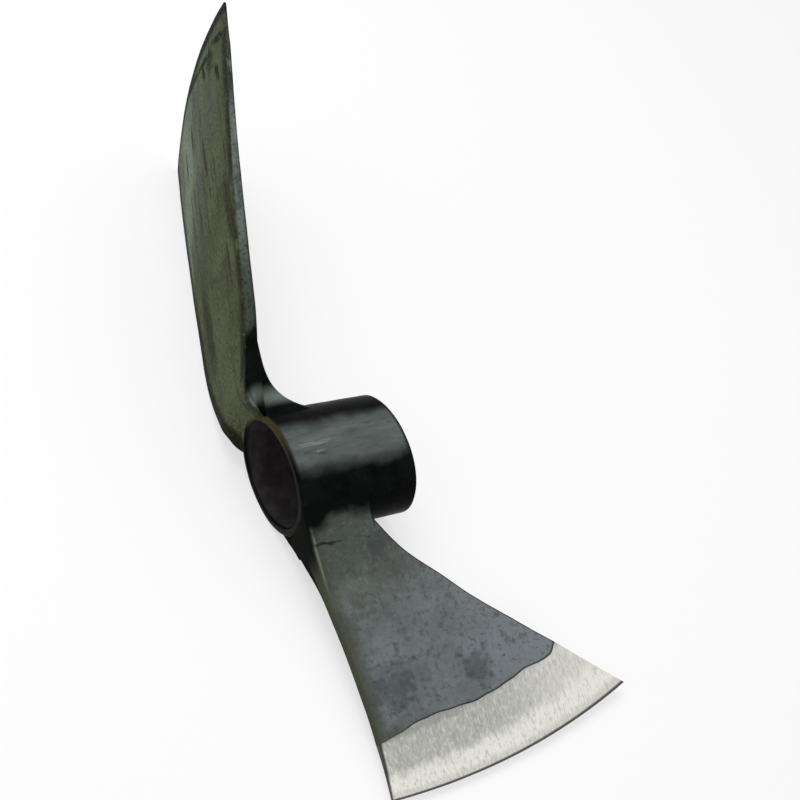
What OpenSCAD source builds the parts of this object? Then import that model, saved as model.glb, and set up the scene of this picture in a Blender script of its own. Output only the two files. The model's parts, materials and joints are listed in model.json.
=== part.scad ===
// Mattock head: a round handle eye that carries a broad hoe blade and an axe blade.
// X runs along the eye towards the hand, Y from the axe to the hoe, Z up.
// The head lies on its side, on the eye and on the hoe's lower corner, and is modelled as if upright on its
// own mirror plane, Z = 0, before it is laid down.

/* [Handle eye] */
// Diameter of the straight bore that takes the handle
eye_bore_d = 42; // [38:0.5:46]
// Thickness of the eye's wall
eye_wall = 4; // [3:0.25:6]
// Length of the eye along its bore
eye_len = 48.8; // [44:0.1:56]
// Angle by which the eye's front end leans, top towards the front
eye_front_lean = 7; // [0:0.1:12]
// Angle by which the eye's hand-side end leans, top towards the front
eye_hand_lean = 8.4; // [0:0.1:12]
// Least depth of the flared mouth at each end of the bore
mouth_depth = 0.8; // [0.4:0.1:1.5]
// Half angle of the flared mouths
mouth_angle = 12; // [6:1:14]
// Chamfer round the outer rims of the eye
rim_chamfer = 0.6; // [0.4:0.1:1.5]

/* [Hoe blade] */
// Distance from the eye's axis to the corners of the cutting edge
hoe_reach = 188.5; // [150:0.5:230]
// Width across the corners of the cutting edge
hoe_edge_w = 113.4; // [90:0.1:130]
// Distance by which the middle of the cutting edge passes its corners
hoe_edge_bulge = 8.8; // [0:0.2:12]
// Distance from the eye's axis to the end of the shoulders
hoe_shoulder_reach = 72; // [60:0.5:90]
// Width at the end of the shoulders
hoe_shoulder_w = 74.4; // [60:0.1:85]
// Width of the neck where it sits on the eye
hoe_neck_w = 33; // [26:0.5:38]
// Distance of the outer face in front of the eye's middle, carried straight down to the eye
hoe_front = 32.4; // [30:0.2:36]
// Distance by which the cutting edge lies back from there, towards the hand
hoe_sweep = 30.4; // [10:0.2:45]
// Part of that distance that comes from the curve of the plate
hoe_curve = 5.6; // [0:0.2:12]
// Height over which the neck bends back to the eye's front end
hoe_neck_bend_h = 13; // [10:0.5:20]
// Height of the outer face's crown across the plate
hoe_camber = 1.8; // [0:0.1:4]
// Thickness of the plate at the eye
hoe_root_t = 6.6; // [5:0.1:9]
// Thickness of the plate where its steel edge starts
hoe_seam_t = 2.6; // [2:0.1:5]

/* [Hoe edge] */
// Width of the steel edge on the outer face
hoe_bit_w = 20; // [14:0.5:28]
// Length of the slanted seam through the plate
hoe_scarf = 6; // [2:0.5:10]
// Thickness left along the cutting edge
hoe_edge_t = 0.5; // [0.3:0.1:1.5]

/* [Axe blade] */
// Distance from the eye's axis to the toe, the front corner of the cutting edge
axe_toe_reach = 128.2; // [105:0.1:150]
// Distance of the toe in front of the eye's middle
axe_toe_front = 18.2; // [5:0.2:30]
// Distance from the eye's axis to the heel, the hand-side corner of the cutting edge
axe_heel_reach = 114.8; // [95:0.1:140]
// Distance of the heel behind the eye's middle
axe_heel_back = 91.5; // [60:0.5:110]
// Distance by which the middle of the cutting edge passes the line of its corners
axe_edge_bulge = 5.4; // [0:0.2:12]
// Distance of the neck's front edge in front of the eye's middle
axe_neck_front = 21.5; // [18:0.1:22]
// Distance of the neck's hand-side edge behind the eye's middle
axe_neck_back = 6.2; // [2:0.1:14]
// Thickness of the neck under the eye
axe_root_t = 19; // [14:0.2:24]
// Thickness of the cheeks
axe_body_t = 6.2; // [4:0.1:8]
// Length over which the neck thins to the cheeks
axe_flare_h = 29; // [20:0.5:45]

/* [Axe edge] */
// Width of the ground steel edge at the toe
axe_bit_w = 19.7; // [14:0.1:28]
// Width of the steeper strip along the cutting edge
axe_keen_w = 8; // [4:0.2:11]
// Thickness where the steeper strip starts
axe_keen_t = 3.2; // [1.6:0.1:3.8]
// Thickness left along the cutting edge
axe_edge_t = 0.5; // [0.3:0.1:1.2]
// Depth of the cleft that holds the steel
axe_cleft = 9; // [4:0.5:14]

/* [Root welds] */
// Height of the hoe's weld up the back of the plate
hoe_weld_h = 26; // [15:0.5:32]
// Length of the hoe's weld along the eye, from the line of the plate's back
hoe_weld_len = 21; // [14:0.5:26]
// Height of the axe's welds below the eye
axe_weld_h = 8.5; // [5:0.5:12]
// Thickness of the welds at their toes
weld_toe = 0.6; // [0.3:0.1:1.2]

/* [Hidden] */
$fn = 96;
overrun = 1;

// Steps across and along the blades
hoe_cols = 14;
hoe_rows = 26;
hoe_bit_rows = 6;
axe_cols = 14;
axe_rows = 28;
axe_bit_rows = 5;
curve_steps = 12;

// The eye's derived sizes
bore_r = eye_bore_d / 2;
eye_r = bore_r + eye_wall;
eye_most_lean = max(eye_front_lean, eye_hand_lean);
eye_reach = eye_len / 2 + eye_r * tan(eye_most_lean) + overrun;
bore_wall_half = eye_len / 2 - bore_r * tan(eye_most_lean) - mouth_depth;
mouth_len = eye_reach - bore_wall_half;

// The hoe's derived sizes
hoe_sunk_share = 0.56;
hoe_sunk_y = eye_r * hoe_sunk_share;
hoe_flank_straight_share = 0.84;
hoe_shoulder_power = 2.3;
hoe_outer_bevel_share = 0.25;
hoe_seam_v = 1 - hoe_bit_w / (hoe_reach - hoe_sunk_y);
hoe_scarf_v = hoe_scarf / (hoe_reach - hoe_sunk_y);

// The axe's derived sizes
axe_len = axe_toe_reach - eye_r;
axe_sunk_share = 0.45;
axe_sunk_v = -eye_r * (1 - axe_sunk_share) / axe_len;
axe_seam_v = 1 - axe_bit_w / axe_len;
axe_keen_v = 1 - axe_keen_w / axe_len;
axe_cleft_v = axe_cleft / axe_len;
axe_tongue_share = 0.6;
axe_tongue_tip_share = 0.1;
axe_tongue_inset_share = 0.06;
axe_chord = [axe_heel_back + axe_toe_front, axe_toe_reach - axe_heel_reach];
axe_bulge_way = [axe_chord[1], -axe_chord[0]] / norm(axe_chord);

// Control points of the axe's two side edges, each as shares of the way from the eye to the corner
axe_front_root = [-axe_neck_front, -eye_r];
axe_front_way = [axe_neck_front - axe_toe_front, eye_r - axe_toe_reach];
axe_front_shares = [[0, 0], [0.9, 1 / 3], [2.25, 2 / 3], [1, 1]];
axe_hand_root = [axe_neck_back, -eye_r];
axe_hand_way = [axe_heel_back - axe_neck_back, eye_r - axe_heel_reach];
axe_hand_shares = [[0, 0], [0.056, 0.172], [0.467, 0.534], [1, 1]];

// The axe's welds climb the eye's flank to this angle from straight down
axe_weld_climb = 40;
axe_weld_hollow_share = 0.3;

// The hoe's weld runs up to this share of the plate's length
hoe_weld_v = (eye_r + hoe_weld_h - hoe_sunk_y) / (hoe_reach - hoe_sunk_y);
hoe_back_slope = (hoe_sweep - hoe_curve) / (hoe_reach - eye_r);
hoe_weld_root_share = 0.25;

// Angle that lays the head on the eye and the hoe's lower corner
hoe_corner_r = norm([hoe_reach, hoe_edge_w / 2]);
rest_tilt = atan2(hoe_edge_w / 2, hoe_reach) - asin(eye_r / hoe_corner_r);

function lerp(a, b, t) = a + (b - a) * t;
function unit(t) = max(0, min(1, t));
function ease(t) = unit(t) * unit(t) * (3 - 2 * unit(t));
function steps(a, b, n) = [for (i = [0 : n]) lerp(a, b, i / n)];
function bezier(p, t) =
    pow(1 - t, 3) * p[0] + 3 * t * pow(1 - t, 2) * p[1] + 3 * t * t * (1 - t) * p[2] + pow(t, 3) * p[3];
function arc(a, b, c) = [for (t = steps(0, 1, curve_steps)) lerp(lerp(a, b, t), lerp(b, c, t), t)];

// Lays the finished head down as it rests on a table
module laid() rotate([rest_tilt, 0, 0]) children();

// Turns a shape made along Z so that it runs along X
module along_x() rotate([0, 90, 0]) children();

// A closed slab between two grids of points with equal rows and columns
module slab(front, back) {
    n = len(front) - 1;
    m = len(front[0]) - 1;
    size = (n + 1) * (m + 1);
    function f(i, j) = i * (m + 1) + j;
    function b(i, j) = size + f(i, j);
    skin = [for (i = [0 : n - 1], j = [0 : m - 1]) each [
        [f(i, j), f(i + 1, j), f(i + 1, j + 1)], [f(i, j), f(i + 1, j + 1), f(i, j + 1)],
        [b(i, j), b(i + 1, j + 1), b(i + 1, j)], [b(i, j), b(i, j + 1), b(i + 1, j + 1)]]];
    ends = [for (j = [0 : m - 1]) each [
        [f(0, j), f(0, j + 1), b(0, j + 1)], [f(0, j), b(0, j + 1), b(0, j)],
        [f(n, j), b(n, j + 1), f(n, j + 1)], [f(n, j), b(n, j), b(n, j + 1)]]];
    sides = [for (i = [0 : n - 1]) each [
        [f(i, 0), b(i, 0), b(i + 1, 0)], [f(i, 0), b(i + 1, 0), f(i + 1, 0)],
        [f(i, m), b(i + 1, m), b(i, m)], [f(i, m), f(i + 1, m), b(i + 1, m)]]];
    points = concat([for (row = front) each row], [for (row = back) each row]);
    polyhedron(points, concat(skin, ends, sides), convexity = 6);
}

// The eye's outer cylinder, long enough to cut the blades' seats
module eye_cutter() along_x() cylinder(r = eye_r, h = 2 * axe_heel_back, center = true);

// Half width of the hoe at a height along its side
function hoe_flank(y) =
    let (t = (y - hoe_shoulder_reach) / (hoe_reach - hoe_shoulder_reach),
         rise = hoe_flank_straight_share * t + (t > 0 ? (1 - hoe_flank_straight_share) * t * t : 0))
    lerp(hoe_shoulder_w, hoe_edge_w, rise) / 2;
function hoe_half_w(y) =
    let (s = unit((y - eye_r) / (hoe_shoulder_reach - eye_r)))
    hoe_flank(max(y, eye_r)) - (hoe_flank(eye_r) - hoe_neck_w / 2) * pow(1 - s, hoe_shoulder_power);

// X of the hoe's outer face at its foot, where the chamfered rim of the eye's front end starts
function hoe_foot_x(y) = rim_chamfer - eye_len / 2 - y * tan(eye_front_lean);

// X of the hoe's outer face: a gently curved sweep, bent back to the eye at its foot
function hoe_face_x(y, z) =
    let (t = (y - eye_r) / (hoe_reach - eye_r),
         s = unit((norm([y, z]) - eye_r) / hoe_neck_bend_h),
         sweep = -hoe_front + (hoe_sweep - hoe_curve) * t + hoe_curve * t * t)
    lerp(sweep, hoe_foot_x(y), pow(1 - s, 2));

// Thickness of the hoe at a share v of its length
function hoe_thick(v) =
    v < hoe_seam_v ? lerp(hoe_root_t, hoe_seam_t, v / hoe_seam_v)
                   : lerp(hoe_seam_t, hoe_edge_t, (v - hoe_seam_v) / (1 - hoe_seam_v));

// A point of the hoe: u from -1 to 1 across, v from 0 in the eye to 1 at the cutting edge
function hoe_point(u, v, back) =
    let (side_y = lerp(hoe_sunk_y, hoe_reach, v),
         y = lerp(hoe_sunk_y, hoe_reach + hoe_edge_bulge * (1 - u * u), v),
         z = u * hoe_half_w(side_y),
         bevel = hoe_outer_bevel_share * (hoe_seam_t - hoe_edge_t) * unit((v - hoe_seam_v) / (1 - hoe_seam_v)),
         face = hoe_face_x(y, z) - hoe_camber * (1 - u * u) * ease(v) + bevel)
    [face + (back ? hoe_thick(v) : 0), y, z];
function hoe_grid(v0, v1, n, back) =
    [for (v = steps(v0, v1, n)) [for (u = steps(-1, 1, hoe_cols)) hoe_point(u, v, back)]];

// Half thickness of the axe at a depth below the eye's axis and a share v of its length
function axe_half_t(y, v) =
    let (s = unit((-y - eye_r) / axe_flare_h))
    v <= axe_seam_v ? lerp(axe_body_t, axe_root_t, (1 + cos(180 * s)) / 2) / 2 :
    v < axe_keen_v ? lerp(axe_body_t, axe_keen_t, (v - axe_seam_v) / (axe_keen_v - axe_seam_v)) / 2
                   : lerp(axe_keen_t, axe_edge_t, (v - axe_keen_v) / (1 - axe_keen_v)) / 2;

// A side edge of the axe; above the eye's underside it runs straight up into the eye
function axe_side(root, way, shares, v) =
    let (s = bezier(shares, max(v, 0)))
    root + [way[0] * s[0], way[1] * s[1]] - [0, axe_len * min(v, 0)];

// A point of the axe's outline: u from 0 at its front edge to 1 at its hand-side edge
function axe_plan(u, v) =
    lerp(axe_side(axe_front_root, axe_front_way, axe_front_shares, v),
         axe_side(axe_hand_root, axe_hand_way, axe_hand_shares, v), u)
    + axe_bulge_way * axe_edge_bulge * 4 * u * (1 - u) * pow(max(v, 0), 2);
function axe_grid(vs, side) =
    [for (v = vs) [for (u = steps(0, 1, axe_cols))
        let (p = axe_plan(u, v)) [p[0], p[1], side * axe_half_t(p[1], v)]]];

// One face of the wedge of steel that the axe's cleft holds; its base runs on past the seam
function axe_tongue_row(v, half) =
    [for (u = steps(axe_tongue_inset_share, 1 - axe_tongue_inset_share, axe_cols))
        let (p = axe_plan(u, v)) [p[0], p[1], half]];
function axe_tongue_face(side) = [
    axe_tongue_row(axe_seam_v - axe_cleft_v, side * axe_tongue_tip_share * axe_body_t / 2),
    axe_tongue_row(axe_seam_v, side * axe_tongue_share * axe_body_t / 2),
    axe_tongue_row(axe_seam_v + overrun / axe_len, side * axe_tongue_share * axe_body_t / 2)];
module axe_tongue() slab(axe_tongue_face(-1), axe_tongue_face(1));

// Outline of the axe's neck, for trimming its welds
module axe_neck_plan() {
    vs = steps(axe_sunk_v, 3 * axe_weld_h / axe_len, curve_steps);
    polygon(concat([for (v = vs) axe_plan(0, v)], [for (i = [len(vs) - 1 : -1 : 0]) axe_plan(1, vs[i])]));
}

module hoe_whole() slab(hoe_grid(0, hoe_seam_v, hoe_rows, false),
                        hoe_grid(0, hoe_seam_v - hoe_scarf_v, hoe_rows, true));

module axe_whole() slab(axe_grid(steps(axe_sunk_v, axe_seam_v, axe_rows), -1),
                        axe_grid(steps(axe_sunk_v, axe_seam_v, axe_rows), 1));

// All that lies behind one leaning end of the eye, with its chamfered rim
module eye_end(turn, lean) rotate([0, 0, turn]) translate([eye_len / 2, 0, 0]) rotate([0, 0, lean]) along_x()
    rotate_extrude() polygon([[0, 0], [eye_r - rim_chamfer, 0], [2 * eye_r, -eye_r - rim_chamfer],
                              [2 * eye_r, -2 * eye_len], [0, -2 * eye_len]]);

// The tube of the eye with its leaning ends, bore and flared mouths
module eye_socket() color([0.13, 0.13, 0.13]) laid() difference() {
    intersection() {
        along_x() cylinder(r = eye_r, h = 2 * eye_reach, center = true);
        eye_end(0, eye_hand_lean);
        eye_end(180, eye_front_lean);
    }
    along_x() cylinder(r = bore_r, h = 2 * (eye_reach + overrun), center = true);
    for (turn = [0, 180]) rotate([0, 0, turn]) translate([bore_wall_half, 0, 0]) along_x()
        cylinder(r1 = bore_r, r2 = bore_r + mouth_len * tan(mouth_angle), h = mouth_len);
}

// The hoe's plate, seated on the crown of the eye
module hoe_blade() color([0.31, 0.33, 0.27]) laid() difference() {
    hoe_whole();
    eye_cutter();
}

// The hoe's steel edge, scarfed to the plate
module hoe_edge() color([0.36, 0.38, 0.31]) laid()
    slab(hoe_grid(hoe_seam_v, 1, hoe_bit_rows, false),
         hoe_grid(hoe_seam_v - hoe_scarf_v, 1, hoe_bit_rows, true));

// The hollow fillet behind the hoe's neck; its inner side lies in the plate and the eye, and is cut away there
function hoe_weld_point(u, t, inner) =
    let (neck = u * hoe_neck_w / 2,
         r = eye_r + (inner ? -eye_wall / 2 : weld_toe),
         foot_y = sqrt(r * r - neck * neck),
         back = hoe_point(u, hoe_weld_v, true),
         toe = [hoe_weld_len + hoe_root_t - hoe_front, foot_y],
         top = [back[0] + (inner ? -hoe_root_t / 2 : weld_toe), back[1]],
         root_x = hoe_foot_x(foot_y) + hoe_weld_root_share * hoe_root_t,
         corner = [inner ? root_x : top[0] - hoe_back_slope * (top[1] - foot_y), foot_y],
         p = !inner ? lerp(lerp(toe, corner, t), lerp(corner, top, t), t) :
             t < 1 / 2 ? lerp(toe, corner, 2 * t) : lerp(corner, top, 2 * t - 1))
    [p[0], p[1], u * (hoe_half_w(p[1]) - weld_toe)];
function hoe_weld_grid(inner) =
    [for (t = steps(0, 1, curve_steps)) [for (u = steps(-1, 1, hoe_cols)) hoe_weld_point(u, t, inner)]];
module hoe_root_weld() color([0.16, 0.16, 0.16]) laid() difference() {
    slab(hoe_weld_grid(true), hoe_weld_grid(false));
    hoe_whole();
    eye_cutter();
}

// The axe's plate, seated under the eye and cleft for its steel
module axe_blade() color([0.33, 0.35, 0.36]) laid() difference() {
    axe_whole();
    axe_tongue();
    eye_cutter();
}

// The axe's ground steel edge with the wedge that sits in the cleft
module axe_edge() color([0.74, 0.74, 0.72]) laid() {
    vs = concat(steps(axe_seam_v, axe_keen_v, axe_bit_rows), [1]);
    axe_tongue();
    slab(axe_grid(vs, -1), axe_grid(vs, 1));
}

// A fillet between one cheek of the axe's neck and the eye's flank
module axe_root_weld() {
    foot_y = -eye_r - axe_weld_h;
    foot = [foot_y, axe_half_t(foot_y, 0) + weld_toe];
    crest = eye_r * [-cos(axe_weld_climb), sin(axe_weld_climb)];
    corner = [-eye_r, axe_root_t / 2];
    hollow = lerp(lerp(foot, crest, 1 / 2), corner, axe_weld_hollow_share);
    difference() {
        intersection() {
            rotate([90, 0, 90]) linear_extrude(height = 2 * eye_len, center = true)
                polygon(concat([[foot_y, 0]], arc(foot, hollow, crest), [crest / 2, [-eye_r / 2, 0]]));
            linear_extrude(height = eye_r) axe_neck_plan();
        }
        axe_whole();
        eye_cutter();
    }
}
module axe_root_weld_upper() color([0.2, 0.21, 0.2]) laid() axe_root_weld();
module axe_root_weld_lower() color([0.2, 0.21, 0.2]) laid() mirror([0, 0, 1]) axe_root_weld();

eye_socket();
hoe_blade();
hoe_edge();
hoe_root_weld();
axe_blade();
axe_edge();
axe_root_weld_upper();
axe_root_weld_lower();
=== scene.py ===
"""Looks of the mattock head: forged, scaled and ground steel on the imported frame."""

import json
import math

import bmesh
import bpy
import numpy as np
from mathutils import Euler, Matrix, Vector, noise


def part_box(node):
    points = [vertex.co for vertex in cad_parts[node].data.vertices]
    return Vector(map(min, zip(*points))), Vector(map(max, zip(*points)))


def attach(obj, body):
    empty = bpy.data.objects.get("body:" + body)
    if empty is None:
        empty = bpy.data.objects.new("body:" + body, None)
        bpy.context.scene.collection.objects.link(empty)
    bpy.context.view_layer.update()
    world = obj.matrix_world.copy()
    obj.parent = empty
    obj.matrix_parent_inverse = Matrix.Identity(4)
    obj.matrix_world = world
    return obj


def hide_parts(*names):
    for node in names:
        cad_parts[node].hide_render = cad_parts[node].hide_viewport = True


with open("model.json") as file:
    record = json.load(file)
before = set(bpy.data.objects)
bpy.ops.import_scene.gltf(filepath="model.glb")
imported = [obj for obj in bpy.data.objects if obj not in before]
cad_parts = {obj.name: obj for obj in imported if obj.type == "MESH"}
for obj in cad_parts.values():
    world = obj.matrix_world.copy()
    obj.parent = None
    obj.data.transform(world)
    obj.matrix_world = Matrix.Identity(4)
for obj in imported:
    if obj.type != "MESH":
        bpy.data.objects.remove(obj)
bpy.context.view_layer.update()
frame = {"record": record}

# Lengths are millimetres in the head's own axes: X along the eye, Y to the hoe, Z across
MM = 0.001

# Handle eye
HANDLE_BORE = frame["record"]["mounts"][0]["dims"]
BORE_R = HANDLE_BORE["r_mm"]
BORE_HALF = HANDLE_BORE["length_mm"] / 2
EYE_R = -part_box("eye_socket")[0].z / MM
EYE_LEN = 48.8
EYE_FRONT_LEAN = math.tan(math.radians(7.0))
EYE_HAND_LEAN = math.tan(math.radians(8.4))
MOUTH_SLOPE = math.tan(math.radians(12.0))
RIM_ROUND = 1.1
BORE_RIM_ROUND = 0.66
RIM_WANDER = 0.25
RIM_WANDER_SPREAD_SHARE = 0.8
HOE_ROOT_R = 23.0
AXE_ROOT_R = 22.0

# Steps of the eye's profile, as shares of each stretch or of a quarter turn
EYE_COLUMNS = 264
BORE_SHARES = np.linspace(0, 1, 12)
MOUTH_SHARES = np.linspace(0.15, 0.85, 6)
BORE_RIM_TURN_SHARES = np.linspace(0.15, 1, 6)
RIM_TURN_SHARES = np.linspace(0, 1, 8)
OUTSIDE_SHARES = np.linspace(0.04, 1, 24)

# Painted light in the bore: how far into the wall and in from the ends it fades, from none to full
BORE_LIGHT_WALL = (1.6, 1.0)
BORE_LIGHT_INSET = (0.6, 1.4)

# Hoe plate
HOE_REACH = 188.5
HOE_EDGE_W = 113.4
HOE_EDGE_BULGE = 8.8
HOE_SHOULDER_REACH = 72.0
HOE_SHOULDER_W = 74.4
HOE_NECK_W = 33.0
HOE_FRONT = 32.4
HOE_SWEEP = 30.4
HOE_CURVE = 5.6
HOE_NECK_BEND_H = 13.0
HOE_CAMBER = 3.0
HOE_ROOT_T = 6.6
HOE_SEAM_T = 2.6
HOE_BIT_W = 20.0
HOE_SCARF = 6.0
HOE_EDGE_T = 0.5
HOE_STRAIGHT_SHARE = 0.84
HOE_SHOULDER_POWER = 3.6
HOE_SHOULDER_EASE = 1.5
HOE_OUTER_BEVEL_SHARE = 0.25
HOE_SUNK_SHARE = 0.56
HOE_ROUND = 0.8
HOE_ROUND_MOST_SHARE = 0.85
HOE_ROUND_FULL_SHARES = (0.1, 0.25)
HOE_CORNER_PULL = 1.4
HOE_CORNER_ACROSS_SHARE = 0.97
HOE_CORNER_ALONG_SHARE = 0.9

# Foot of the hoe plate, where it runs out on the eye
FOOT_FLARE = 0.8
FOOT_FLARE_MOST_SHARE = 1.3
FOOT_LOW = 16.0
FOOT_MARGIN = 2.0
FOOT_H = 14.0
FOOT_PROUD = 0.2
FOOT_ROUND = 0.2
FOOT_RUNOUT = math.radians(36.0)
FOOT_SINK = 5.0

# Hoe root fillet
HOE_WELD_H = 29.0
HOE_WELD_LEN = 21.0
HOE_WELD_ROUND = 2.0
HOE_WELD_SUNK = 1.0
HOE_WELD_TOE_SUNK_SHARE = 1 / 3
HOE_WELD_TOP_SUNK_SHARE = 1 / 2
HOE_WELD_BASE_INSET = 0.8
HOE_WELD_BOW = 5.6
HOE_WELD_BOW_FROM_SHARE = 0.7
HOE_WELD_DIVE_FROM_SHARE = 0.92
HOE_WELD_PROUD = 0.35
HOE_WELD_FULL_SHARE = 0.25
HOE_WELD_TAPER_POWER = 10
WELD_ROUND_MOST_SHARE = 0.4

# Axe plate
AXE_TOE_REACH = 128.2
AXE_TOE_FRONT = 18.2
AXE_HEEL_REACH = 114.8
AXE_HEEL_BACK = 91.5
AXE_EDGE_BULGE = 5.4
AXE_NECK_FRONT = 21.5
AXE_NECK_BACK = 6.2
AXE_ROOT_T = 19.0
AXE_BODY_T = 6.2
AXE_FLARE_H = 29.0
AXE_BIT_W = 19.7
AXE_KEEN_W = 8.0
AXE_KEEN_T = 3.2
AXE_EDGE_T = 0.5
AXE_FRONT_SHARES = ((0, 0), (0.9, 1 / 3), (2.25, 2 / 3), (1, 1))
AXE_HAND_SHARES = ((0, 0), (0.056, 0.172), (0.467, 0.534), (1, 1))
AXE_ROUND = 1.3
AXE_ROUND_MOST_SHARE = 0.8
AXE_ROUND_PASSES = 3
AXE_FRONT_BEVEL_W = 7.0
AXE_FRONT_BEVEL_DROP = 0.6
AXE_FRONT_BEVEL_FULL_T = 3.0
AXE_SEAM_SAG = 0.7
AXE_SEAM_SAG_SHARES = (0.4, 0.55)
AXE_SEAM_HOOK = 0.8
AXE_SEAM_HOOK_FROM_SHARE = 0.92
AXE_SEAM_LIP = 0.12
AXE_SEAM_LIP_FROM_SHARE = 0.985
AXE_SEAM_DARK_INSET = 0.45

# Axe root fillets
AXE_WELD_H = 8.5
AXE_WELD_CLIMB = math.radians(40.0)
AXE_WELD_HOLLOW_SHARE = 0.3
AXE_WELD_TOE = 0.75
AXE_WELD_TOE_HAND_SHARE = 0.06
AXE_WELD_TOE_FADE_SHARES = (-0.9, 0.5)
AXE_WELD_ROUND = 1.4
AXE_WELD_BASE_DROP = 1.5
AXE_WELD_BASE_Z = 5.0
AXE_WELD_SUNK = 0.45
AXE_WELD_SUNK_FROM_SHARE = 0.8
AXE_WELD_TAPER = 1.0

# Swells: height, and place and spread as shares of the line that they are on
AXE_HAND_SWELL = (1.6, 0.42, 0.1)
AXE_SEAM_SWELLS = ((-2.2, 0.24, 0.15), (1.3, 0.91, 0.07))

# Waves across the head: height, rate and start
HOE_SEAM_WAVES = ((0.8, 5.1, 0.6), (0.5, 11.7, 0.0))
AXE_SEAM_WAVES = ((0.1, 31.0, 0.0), (0.1, 53.0, 1.0))
AXE_WELD_FOOT_WAVES = ((0.6, 6.3, 0.8), (0.3, 15.1, 0.0))

# Hammered unevenness: size and depth of the dents
EYE_DENTS = ((16.0, 0.14), (6.0, 0.06))
HOE_DENTS = ((24.0, 0.16), (9.0, 0.06), (3.5, 0.025))
HOE_WELD_DENTS = ((14.0, 0.18), (5.0, 0.06))
AXE_DENTS = ((20.0, 0.12), (7.0, 0.05), (3.0, 0.02))
AXE_EDGE_DENTS = ((12.0, 0.05),)
AXE_WELD_DENTS = ((9.0, 0.10), (3.5, 0.04))

# Meshes
MERGE_DIGITS = 4
SHARP_ANGLE = math.radians(50.0)
FLANK_SAMPLES = 200

# Studio, in metres and watts
FLOOR_HALF = 20.0
FLOOR_COLOUR = (0.93, 0.93, 0.93, 1.0)
FLOOR_ROUGHNESS = 0.9
FLOOR_WHITE_SHARE = 0.6
WALL_TOP_SHARE = 0.25
WALL_LIGHT = 0.15
CEILING_LIGHT = 1.0
WHITE = (1.0, 1.0, 1.0, 1.0)
SEEN_RAYS = ("Is Camera Ray", "Is Glossy Ray", "Is Transmission Ray")
HEAD_MIDDLE = Vector((0.02, 0.03, 0.0))

# Camera: lens and sensor, then place and turn in degrees in the head's own axes
CAMERA_LENS = 50.0
CAMERA_SENSOR = 36.0
CAMERA_NEAR = 0.01
CAMERA_PLACE = (-167.2, -137.52, 388.58)
CAMERA_TURN = (28.255, -19.757, -20.317)

# Worked out from the sizes above
HOE_CORNER_R = math.hypot(HOE_REACH, HOE_EDGE_W / 2)
REST_TILT = math.atan2(HOE_EDGE_W / 2, HOE_REACH) - math.asin(EYE_R / HOE_CORNER_R)
HOE_SUNK_Y = HOE_SUNK_SHARE * EYE_R
HOE_RUN = HOE_REACH - HOE_SUNK_Y
HOE_SEAM_V = 1 - HOE_BIT_W / HOE_RUN
HOE_SCARF_V = HOE_SCARF / HOE_RUN
AXE_RUN = AXE_TOE_REACH - EYE_R
AXE_SEAM_V = 1 - AXE_BIT_W / AXE_RUN
AXE_KEEN_V = 1 - AXE_KEEN_W / AXE_RUN
FLOOR_Z = -EYE_R


# Small sums used all over
def unit(t):
    return np.clip(t, 0.0, 1.0)


def past(t, start, end=1.0):
    """0 up to the start, 1 from the end on, in proportion between them."""
    return unit((t - start) / (end - start))


def lerp(a, b, t):
    return a + (b - a) * t


def ease(t):
    t = unit(t)
    return t * t * (3 - 2 * t)


def swell(t, height, middle, spread):
    """A smooth hump of this height round its middle."""
    return height * np.exp(-(((t - middle) / spread) ** 2))


def waves(t, table):
    """The sum of the waves in a table of heights, rates and starts."""
    return sum(height * np.sin(rate * t + start) for height, rate, start in table)


def bezier(points, t):
    """A point of the Bezier curve with these control points."""
    points = [np.asarray(p, float) for p in points]
    t = np.asarray(t, float)[..., None]
    while len(points) > 1:
        points = [lerp(a, b, t) for a, b in zip(points, points[1:])]
    return points[0]


def unevenness(points, size):
    """Smooth noise between about -1 and 1 at each point, with bumps of this size."""
    return np.array([noise.noise(Vector(p)) for p in points / size])


def in_frame(points):
    """Points of the head's own axes, in millimetres, as the head lies on the floor, in metres."""
    c, s = math.cos(REST_TILT), math.sin(REST_TILT)
    x, y, z = points.T
    return np.stack([x, c * y - s * z, s * y + c * z], -1) * MM


# Meshes from grids of points
def face_line(face_points, corner_points, sides):
    """Line up one side of a flat bar, over its face with round edges and down the other side.

    Each point has its shares of half the width and of the depth, and the arc's way in these two.
    """
    turns = [math.pi / 2 * i / corner_points for i in range(corner_points + 1)]
    line = [(-1, d, -1, 0) for d in sides]
    line += [(-1, 1, -math.cos(a), math.sin(a)) for a in turns]
    line += [(w, 1, 0, 1) for w in np.linspace(-1, 1, face_points + 2)[1:-1]]
    line += [(1, 1, math.sin(a), math.cos(a)) for a in turns]
    return line + [(1, d, 1, 0) for d in reversed(sides)]


def strip_loop(face_points, corner_points, side_points):
    """The open line over a fillet, as four rows."""
    sides = [i / side_points for i in range(side_points)]
    return np.array(face_line(face_points, corner_points, sides), float).T


def bar_loop(face_points, corner_points, side_points):
    """The closed loop round a plate, as four rows: over its front and back over its rear.

    Point i lies across from point -1 - i.
    """
    sides = [(i + 0.5) / side_points for i in range(side_points)]
    rear = face_line(face_points, corner_points, sides)
    front = [(w, -d, way_w, -way_d) for w, d, way_w, way_d in rear]
    return np.array(front + rear[::-1], float).T


def grid_faces(rows, cols, loop_rows=False, loop_cols=False):
    """Quads of a grid of points, with its first and last lines joined where it is a loop."""
    quads = []
    for i in range(rows if loop_rows else rows - 1):
        below, above = i * cols, (i + 1) % rows * cols
        for j in range(cols if loop_cols else cols - 1):
            k = (j + 1) % cols
            quads.append((below + j, below + k, above + k, above + j))
    return quads


def end_faces(first, cols):
    """Quads that close a bar's loop, which starts at this point of the mesh."""
    return [
        (first + i, first + i + 1, first + cols - 2 - i, first + cols - 1 - i)
        for i in range(cols // 2 - 1)
    ]


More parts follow.
